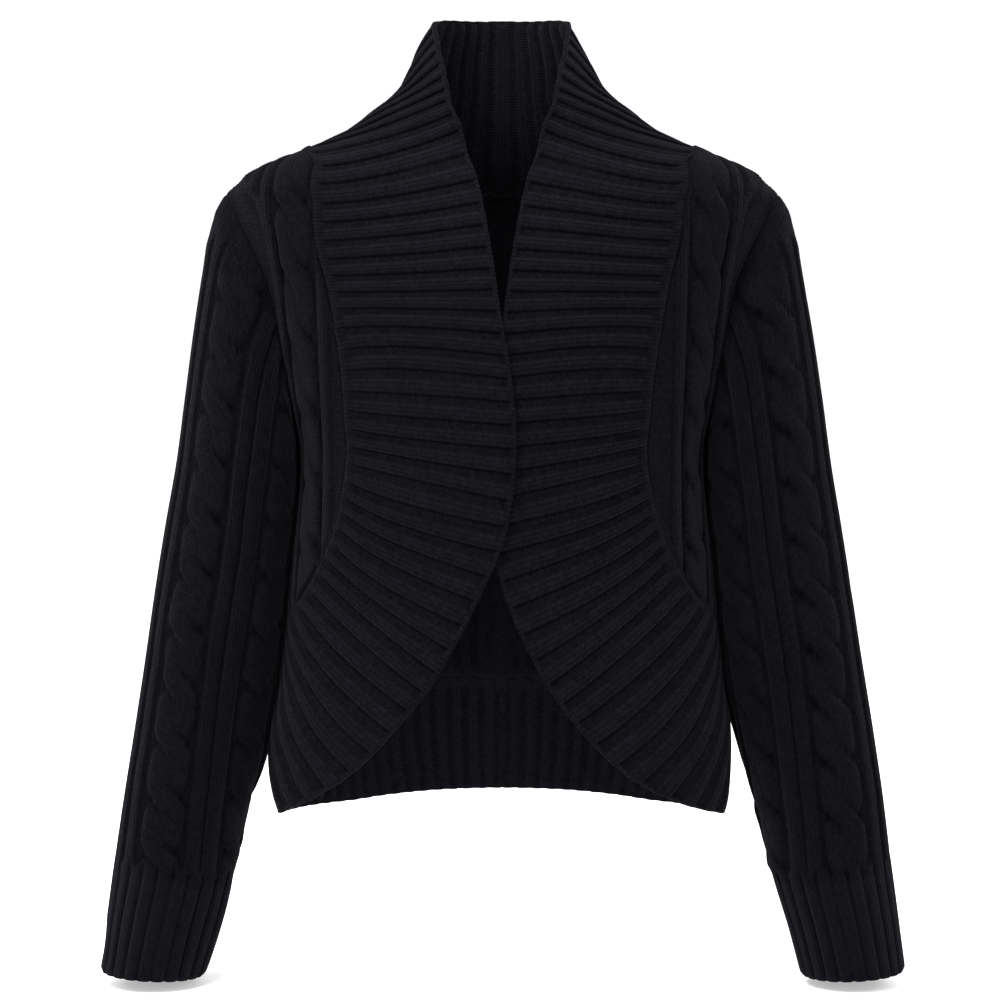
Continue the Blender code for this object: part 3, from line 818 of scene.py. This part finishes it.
def sleeve(side, name, material):
    ring, along = tube_rows(0, RING_CUFF, SLEEVE_STEP, side)
    psi_table, arcs = ring_arcs(ring, side)
    cap = np.argmin(np.abs(ring - CAP_RING))
    psi = sleeve_columns(psi_table, arcs, cap)
    points, ways, v = on_tube(ring, along, psi, side)
    s = np.stack([np.interp(angles, psi_table, arc) for angles, arc in zip(psi, arcs)])
    s[:cap] = s[cap]
    z = points[..., 2]
    d_top = running(length_of(np.diff(points, axis=0)), 0)
    d_end = d_top[-1:] - d_top
    under = np.minimum(s - s[:, :1], s[:, -1:] - s)
    front = np.where(psi[0] >= 0, 1, -1)
    seam_ways = armhole_way(np.abs(psi[0]) / np.pi, front, side)
    ways = blend(ways, seam_ways[None], fade(d_top, WAYS_TURN)[..., None])
    shift = SLEEVE_SHIFT[side]
    cables = on_both_sides(SLEEVE_CABLES, shift, SLEEVE_PITCH, CROSSING[side])
    strips = Strips(on_both_sides(SLEEVE_RIBS, shift), cables, side)
    level, purl = strips.height(s, z)
    beside = ease(np.abs(s), CAP_RIBS_WITHIN - 1, CAP_RIBS_WITHIN + 2)
    plain = np.maximum(ease(z, *PLAIN_ABOVE) * beside, ease(z, *CAP_PLAIN_ABOVE))
    level, purl = blend(level, PLAIN_LEVEL, plain), blend(purl, PLAIN_PURL, plain)
    level = sewn(sewn(level, d_top, SEAM_WIDTH, ARMHOLE_GROOVE), under, UNDERARM_WIDTH)
    turn = (s - s[:, :1]) / (s[:, -1:] - s[:, :1])
    ends = fade(d_end - CUFF_RUNS_UP, CUFF_SOFT)
    level = blend(level, cuff_ribbing(turn * CUFF_RIBS + CUFF_PHASE), ends)
    inner = sewn_inside(inside_level(level), np.minimum(np.minimum(d_top, d_end), under))
    fields = creased(points, ways), ways, s, v, z, level, inner, purl * (1 - ends)
    return grid_piece(name, material, fields, True, strips.uv)


def cuff(side, name, material):
    ring, along = tube_rows(RING_CUFF, RING_WRIST, CUFF_STEP, side)
    psi_table, arcs = ring_arcs(ring, side)
    turns = np.linspace(0, 1, CUFF_RIBS * CUFF_RIB_SAMPLES + 1)
    psi = np.stack([np.interp(arc[0] + (arc[-1] - arc[0]) * turns, arc, psi_table) for arc in arcs])
    psi[:, 0], psi[:, -1] = -np.pi, np.pi
    points, ways, v = on_tube(ring, along, psi, side)
    rib = np.repeat(turns[None] * CUFF_RIBS, len(ring), 0) + CUFF_PHASE
    level = cuff_ribbing(rib)
    d_edge = v[-1:] - v
    points = np.swapaxes(scalloped(np.swapaxes(points, 0, 1), level.T, d_edge.T, CUFF_SCALLOP), 0, 1)
    level = rounded(blend(level, CUFF_BOUND_LEVEL, fade(d_edge - CUFF_BOUND, BOUND_SOFT)), d_edge)
    inner = band_inside(level, v, d_edge)
    fields = creased(points, ways), ways, rib, v, points[..., 2], level, inner, np.zeros_like(level)
    return grid_piece(name, material, fields, True, rib_uv)


# ---- body panels
WIDE_STEP = 1.25  # between the body's columns
TALL_STEP = 3.0
WALE_LINE_X = 120.0  # the fronts' wales are counted from here
FRONT_RIBS = ((12.3, 5.2), (60, 4.6), (74, 4.6))
FRONT_CABLE = (36.0, 15.5, 50.0)
FRONT_CROSSING = -44.0
BACK_RIBS = [(place, 4.6) for place in (22.5, 36, 92, 106, 162, 176, 190, 204, 218)]
BACK_CABLES = ((0, 14.0), (64, 15.0), (134, 15.0))
BACK_CROSSING = -60.0
BACK_PITCH = 50.0
# height, distance from the centre line of the rib that slants beside the armhole
ARMHOLE_RIB = Curve(((-15, 192), (-30, 187.5), (-42, 178.5), (-49, 175.7), (-95, 166), (-145, 161),
                     (-200, 152)))
ARMHOLE_RIB_HALF = 5.2
ARMHOLE_RIB_SHOWS = (-175, -150)  # heights over which it begins to show
ARMHOLE_GAP = 1.6  # depth of the groove inside it
ARMHOLE_GAP_OFF = 6.6
ARMHOLE_GAP_HALF = 1.3
ARMHOLE_GAP_SHOWS = (-60, -80)
PLAIN_FROM = 3.0  # how far inside the rib the plain knit begins
BORDER_CLEAR = 0.45  # least distance from a lattice place to the border, in steps
BATCH = 2000
NO_TURN = -1.0  # in place of a turn round the armhole, where a border isn't on it
# steps along the borders
SHOULDER_STEPS, ARM_STEPS, SIDE_STEPS, BAND_STEPS, NECK_STEPS, HEM_STEPS = 40, 120, 88, 240, 90, 170

heights = np.linspace(-420, 20, 881)
slope = np.gradient(FORM(heights)[0], heights)
run = running(np.sqrt(1 + ((slope[1:] + slope[:-1]) / 2) ** 2) * np.diff(heights))


def down_side(z):
    """Length along the form's side, which spaces the body's rows evenly over the shoulders."""
    return np.interp(z, heights, run)


def up_side(w):
    return np.interp(w, run, heights)


def phi_at(x, z):
    """Angles of the form's front at distances from the centre line."""
    return np.degrees(np.arcsin(np.clip(x / FORM(z)[0], 0, 1)))


def wale_start(z, front):
    return phi_at(WALE_LINE_X, z) if front else np.full(np.shape(z), CENTRE_BACK_PHI)


def form_arc(phi, z, front, samples=48):
    """Distance round the form at a height, from where its wales are counted."""
    start = wale_start(z, front)
    t = np.linspace(0, 1, samples)
    angle = start[..., None] + (phi - start)[..., None] * t
    points = form_point(angle, z[..., None] + 0 * t, RIGHT)
    length = length_of(np.diff(points, axis=-2)).sum(-1)
    return length * np.where(phi >= start, 1, -1) * (1 if front else -1)


def lattice_phi(s, z, front):
    """Angles of lattice places, row by row."""
    phi = np.linspace(0, 180, 1441)
    found = np.zeros_like(s)
    for height in np.unique(z):
        here = z == height
        length = running(length_of(np.diff(form_point(phi, np.full_like(phi, height), RIGHT), axis=0)))
        start = np.interp(wale_start(np.array([height]), front)[0], phi, length)
        found[here] = np.interp(start + (s[here] if front else -np.abs(s[here])), length, phi)
    return found


def inside_polygon(x, y, px, py):
    inside = np.zeros(len(x), bool)
    for x1, y1, x2, y2 in zip(px, py, np.roll(px, -1), np.roll(py, -1)):
        if y1 != y2:
            inside ^= ((y1 > y) != (y2 > y)) & (x < (x2 - x1) * (y - y1) / (y2 - y1) + x1)
    return inside


def nearest(points, border):
    """Index of the nearest border point, and its distance."""
    index, away = np.zeros(len(points), int), np.zeros(len(points))
    for start in range(0, len(points), BATCH):
        part = slice(start, start + BATCH)
        gaps = ((points[part, None] - border) ** 2).sum(-1)
        index[part], away[part] = gaps.argmin(1), np.sqrt(gaps.min(1))
    return index, away


def triangulate(border, wide, tall):
    """Triangles over a border and a lattice inside it; places are (s, w)."""
    scale = np.array((1 / wide, 1 / tall))
    low, high = border.min(0), border.max(0)
    s = np.arange(math.ceil(low[0] / wide), math.floor(high[0] / wide) + 1) * wide
    w = np.arange(math.ceil(low[1] / tall), math.floor(high[1] / tall) + 1) * tall
    places = np.stack(np.meshgrid(s, w), -1).reshape(-1, 2)
    places = places[inside_polygon(*places.T, *border.T)]
    dense = np.concatenate([border + (np.roll(border, -1, 0) - border) * f for f in (0, 0.34, 0.67)])
    _, away = nearest(places * scale, dense * scale)
    every = np.concatenate([border, places[away > BORDER_CLEAR]])
    coords = [Vector(p) for p in (every * scale).tolist()]
    _, _, faces, origins, _, _ = delaunay_2d_cdt(coords, [], [list(range(len(border)))], 1, 1e-6)
    back = np.array([o[0] if o else -1 for o in origins])
    tris = back[np.array([f for f in faces if len(f) == 3])]
    return every, tris[(tris >= 0).all(1)]


def beside_armhole(level, purl, s, z):
    """The slanted rib beside the armhole, a deep groove inside it and plain purl outside it."""
    off = s - form_arc(phi_at(ARMHOLE_RIB(z)[0], z), z, True)
    outside = ease(off, -PLAIN_FROM, 0.0)
    shown = ease(z, *ARMHOLE_RIB_SHOWS)
    level = blend(level, GROUND, outside * shown)
    left = 1 - (np.abs(off) / ARMHOLE_RIB_HALF) ** 3
    rib = GROUND * (1 - np.sqrt(np.maximum(left, 0)))
    level = np.where(shown > 0, np.maximum(level, blend(GROUND, rib, shown)), level)
    gap = np.exp(-((off + ARMHOLE_GAP_OFF) / ARMHOLE_GAP_HALF) ** 2) * shown * ease(z, *ARMHOLE_GAP_SHOWS)
    near = np.where(left > ON_RIB, 0.0, blend(purl, PLAIN_PURL, outside))
    return level - ARMHOLE_GAP * gap, np.where(shown > 0.5, near, purl)


def shoulder_places(t):
    neck = down_side(seam_place(RIB_SHOULDER, RIGHT)[1])
    return SIDE_PHI, up_side(neck + (down_side(ARMHOLE_TOP) - neck) * t), NO_TURN


def arm_places(front):
    return lambda t: (*armhole_place(t, front), t)


def side_places(t):
    foot = seam_place(RIB_SIDE_FOOT, RIGHT)[1]
    return SIDE_PHI, ARMHOLE_FOOT + (foot - ARMHOLE_FOOT) * t, NO_TURN


def seam_places(first, last, side):
    return lambda t: (*seam_place(first + (last - first) * t, side), NO_TURN)


def run_of(*runs):
    """Places of a border from its runs, each (steps, maker), without the last place of each."""
    parts = [np.broadcast_arrays(*make(np.linspace(0, 1, steps + 1)[:-1])) for steps, make in runs]
    return [np.concatenate(column) for column in zip(*parts)]


def outer_runs(front):
    return (SHOULDER_STEPS, shoulder_places), (ARM_STEPS, arm_places(front)), (SIDE_STEPS, side_places)


def front_border(side):
    """From the neck out over the shoulder, down to the side's foot and back up beside the band."""
    band = seam_places(RIB_SIDE_FOOT, RIB_SHOULDER, side)
    phi, z, turn = run_of(*outer_runs(1), (BAND_STEPS, band))
    return phi, z, turn, np.full(len(phi), side)


def back_border():
    """From the centre of the back neck over the right shoulder, down and under to the centre, and back
    up the left half. Along it s is below 0 on the left."""
    halves = []
    for side in (RIGHT, LEFT):
        neck = seam_places(RIB_CENTRE_NECK, RIB_SHOULDER, side)
        hem = seam_places(RIB_SIDE_FOOT, RIB_CENTRE_HEM, side)
        centre = seam_places(RIB_CENTRE_HEM, RIB_CENTRE_HEM, side)
        half = run_of((NECK_STEPS, neck), *outer_runs(-1), (HEM_STEPS, hem), (1, centre))
        halves.append((*half, np.full(len(half[0]), side)))
    return [np.concatenate([right, left[-2:0:-1]]) for right, left in zip(*halves)]


def panel_piece(name, material, border, front, strips):
    """A trimmed panel: dense outside, coarser inside, with every second border vertex shared."""
    surfaces = []
    for step in (1, 2):
        phi_b, z_b, turn_b, side_b = (values[::step] for values in border)
        s_b = form_arc(phi_b, z_b, front) * (1 if front else side_b)
        every, tris = triangulate(stack(s_b, down_side(z_b)), WIDE_STEP * step, TALL_STEP * step)
        count = len(s_b)
        s, w = every.T
        z = up_side(w)
        z[:count] = z_b
        sides = np.full(len(s), side_b[0]) if front else np.where(s >= 0, RIGHT, LEFT)
        sides[:count] = side_b
        phi = np.concatenate([phi_b, lattice_phi(s[count:], z[count:], front)])
        points, ways, seam_ways = np.zeros((3, len(s), 3))
        armhole = turn_b >= 0
        for side in (RIGHT, LEFT):
            here = sides == side
            points[here], ways[here] = on_form(phi[here], z[here], side)
            sewn_on = np.nonzero(armhole & here[:count])[0]
            seam_ways[sewn_on] = armhole_way(turn_b[sewn_on], 1 if front else -1, side)
        index, away = nearest(points, points[:count])
        ways = blend(ways, seam_ways[index], (fade(away, WAYS_TURN) * armhole[index])[:, None])
        level, purl = strips.height(s, z)
        if front:
            level, purl = beside_armhole(level, purl, s, z)
        level = sewn(level, away, SEAM_WIDTH, np.where(armhole[index], ARMHOLE_GROOVE, seam_groove(z)))
        depth = level + LIFT if step == 1 else sewn_inside(inside_level(level), away)
        moved = creased(points, ways) + ways * depth[:, None]
        surfaces.append(Sheet(moved, ways, s, w, z, depth, purl, tris, np.arange(len(s))))
    partner = np.full(len(surfaces[0].s), -1)
    partner[:2 * count:2] = np.arange(count)
    return make_piece(name, material, *surfaces, partner, strips.uv)


def front_panel(side, name, material):
    strips = Strips(FRONT_RIBS, [(*FRONT_CABLE, FRONT_CROSSING)], -side)
    return panel_piece(name, material, front_border(side), True, strips)


def back_panel(name, material):
    strips = Strips(on_both_sides(BACK_RIBS), on_both_sides(BACK_CABLES, 0.0, BACK_PITCH, BACK_CROSSING), 1)
    return panel_piece(name, material, back_border(), False, strips)


# ---- material
YARN_DARK = (0.0001, 0.0001, 0.0001)
V_SLANT = 1.6  # how many rows the legs of a stitch climb over its width
# the stitch share is painted shade: lighter on the stitches' tops, darker down between them; the fuzz,
# patch and single shares are random differences of the yarn
STITCH_RELIEF_SHADE, FUZZ_TONE, PATCH_TONE, SINGLE_TONE = 0.60, 0.42, 0.16, 0.38
# how much of the tone the painted shade in the grooves takes away
HOLLOW_PAINTED_SHADE = 0.85
# the outside's tone, and how much lighter the inside is coloured: painted light for the light the inside
# doesn't get
OUTSIDE_TONE, INSIDE_PAINTED_LIGHT = 0.68, 0.58


def set_inputs(node, inputs):
    for key, value in inputs.items():
        node.inputs[key].default_value = value


def knit_material(name, light):
    """Black yarn, knitted: V stitches on ribs and cables, rows of bumps on purl, and fuzz. Its colour also
    holds painted shade on the stitches' relief and in the grooves, and painted light that makes the inside
    lighter.
    """
    material = bpy.data.materials.new(name)
    material.use_nodes = True
    nodes, links = material.node_tree.nodes, material.node_tree.links
    shader = nodes["Principled BSDF"]

    def put(value, socket):
        if isinstance(value, (int, float)):
            socket.default_value = value
        else:
            links.new(value, socket)

    def add(kind, **inputs):
        node = nodes.new(kind)
        for key, value in inputs.items():
            put(value, node.inputs[key])
        return node

    def calc(operation, *values):
        node = nodes.new("ShaderNodeMath")
        node.operation = operation
        for value, socket in zip(values, node.inputs):
            put(value, socket)
        return node.outputs[0]

    def plus(a, b):
        return calc("ADD", a, b)

    def times(a, b):
        return calc("MULTIPLY", a, b)

    def attribute(key):
        node = nodes.new("ShaderNodeAttribute")
        node.attribute_name = key
        return node.outputs["Fac"]

    def noise(scale):
        return add("ShaderNodeTexNoise", Vector=place, Scale=scale, Detail=4.0).outputs["Fac"]

    uv = nodes.new("ShaderNodeUVMap")
    uv.uv_map = "UVMap"
    u, v, _ = add("ShaderNodeSeparateXYZ", Vector=uv.outputs[0]).outputs
    across = calc("ABSOLUTE", calc("SUBTRACT", calc("FRACT", u), 0.5))
    column = calc("POWER", calc("COSINE", times(across, math.pi)), 0.7)
    crease = times(calc("MAXIMUM", calc("SUBTRACT", 1.0, times(across, 9.0)), 0.0), 0.3)
    climb = plus(v, times(across, V_SLANT))
    lens = calc("SINE", times(calc("FRACT", climb), math.pi))
    knit = times(calc("SUBTRACT", column, crease), plus(times(lens, 0.6), 0.4))
    row = calc("SINE", times(calc("FRACT", v), math.pi))
    wave = calc("COSINE", times(plus(u, times(calc("FLOOR", v), 0.5)), 2 * math.pi))
    bumps = plus(times(row, plus(times(wave, 0.2), 0.35)), 0.2)
    stitch = add("ShaderNodeMix", Factor=attribute("purl"), A=knit, B=bumps).outputs["Result"]

    place = nodes.new("ShaderNodeTexCoord").outputs["Object"]
    fuzz = calc("MULTIPLY_ADD", noise(650.0), 2.2, -0.6)
    cell = add("ShaderNodeCombineXYZ", X=calc("FLOOR", u), Y=calc("FLOOR", climb))
    single = add("ShaderNodeTexWhiteNoise", Vector=cell.outputs[0]).outputs["Value"]
    relief = add("ShaderNodeBump", Height=plus(stitch, times(fuzz, 0.4)), Strength=1.0, Distance=0.0008)
    links.new(relief.outputs["Normal"], shader.inputs["Normal"])

    # painted shade on the stitches: the tone follows their relief height
    tone = times(stitch, STITCH_RELIEF_SHADE)
    for layer, share in ((fuzz, FUZZ_TONE), (noise(55.0), PATCH_TONE), (single, SINGLE_TONE)):
        tone = plus(tone, times(layer, share))
    # painted shade: darker where the cloth is sunk into its grooves
    tone = times(tone, calc("SUBTRACT", 1.0, times(attribute("hollow"), HOLLOW_PAINTED_SHADE)))
    # painted light: the inside is coloured lighter than the outside
    tone = times(tone, plus(OUTSIDE_TONE, times(attribute("inside"), INSIDE_PAINTED_LIGHT)))
    ramp = nodes.new("ShaderNodeValToRGB")
    for element, colour in zip(ramp.color_ramp.elements, (YARN_DARK, light)):
        element.color = (*colour, 1)
    links.new(tone, ramp.inputs[0])
    links.new(ramp.outputs[0], shader.inputs["Base Color"])
    set_inputs(shader, {"Roughness": 0.9, "Specular IOR Level": 0.015, "Sheen Weight": 0.021,
                        "Sheen Roughness": 0.3, "Sheen Tint": (0.8, 0.8, 1.0, 1.0)})
    return material


# the rib knit's colour is lighter than the cable knit's: painted light, making up for the darker shading
# the band gets under the top lamp
cable_knit = knit_material("cable_knit_yarn", (0.0048, 0.0046, 0.0064))
rib_knit = knit_material("rib_knit_yarn", (0.0058, 0.0054, 0.0078))

# ---- the pieces
made = {}
for side, word in ((RIGHT, "right"), (LEFT, "left")):
    made["band_" + word] = front_band(side, "knit_band_" + word, rib_knit)
    made["sleeve_" + word] = sleeve(side, "knit_sleeve_" + word, cable_knit)
    made["cuff_" + word] = cuff(side, "knit_cuff_" + word, rib_knit)
    made["front_panel_" + word] = front_panel(side, "knit_front_" + word, cable_knit)
made["hem_band_back"] = hem_band("knit_hem_back", rib_knit)
made["back_panel"] = back_panel("knit_back", cable_knit)

# each piece goes on the root body, and the CAD part it stands for is hidden
for node, piece in made.items():
    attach(piece, "root")
    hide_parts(node)

# ---- floor, light and camera
FLOOR_BELOW = 0.007  # metres under the cuffs
bpy.ops.mesh.primitive_plane_add(size=60, location=(0, 0, CAD_LOW.z - FLOOR_BELOW))
floor = bpy.context.object
floor.name = "floor"
paper = bpy.data.materials.new("paper")
paper.use_nodes = True
set_inputs(paper.node_tree.nodes["Principled BSDF"], {
    "Base Color": (0.95, 0.95, 0.95, 1), "Roughness": 1.0, "Specular IOR Level": 0.0,
    "Emission Color": (1, 1, 1, 1), "Emission Strength": 0.35})
floor.data.materials.append(paper)

world = bpy.data.worlds.new("studio")
bpy.context.scene.world = world
world.use_nodes = True
set_inputs(world.node_tree.nodes["Background"], {"Color": (1, 1, 1, 1), "Strength": 1.1})


def area_light(name, place, target, size, power):
    data = bpy.data.lights.new(name, "AREA")
    data.size, data.energy = size, power
    light = placed(name, data)
    light.location = place
    light.rotation_euler = (Vector(target) - Vector(place)).to_track_quat("-Z", "Y").to_euler()


area_light("key", (-1.1, -1.4, 1.8), (0, 0, -0.2), 0.6, 52)
area_light("left", (-1.9, -0.25, 0.7), (0, 0, -0.2), 0.8, 12)
area_light("right", (1.9, -0.25, 0.7), (0, 0, -0.2), 0.8, 12)
area_light("top", (-0.2, -0.5, 1.6), (0, 0, -0.1), 0.8, 48)
area_light("fill", (0.3, -3.0, 0.2), (0, 0, -0.25), 1.2, 15)

LOOKS_DOWN = 2.54  # degrees
camera_data = bpy.data.cameras.new("camera")
camera_data.lens = 100
camera_data.sensor_width = 36
camera = placed("camera", camera_data)
camera.location = (0.0015, -2.1, -0.1725)
camera.rotation_euler = (math.radians(90 - LOOKS_DOWN), 0, 0)
bpy.context.scene.camera = camera
bpy.context.scene.view_settings.view_transform = "Standard"
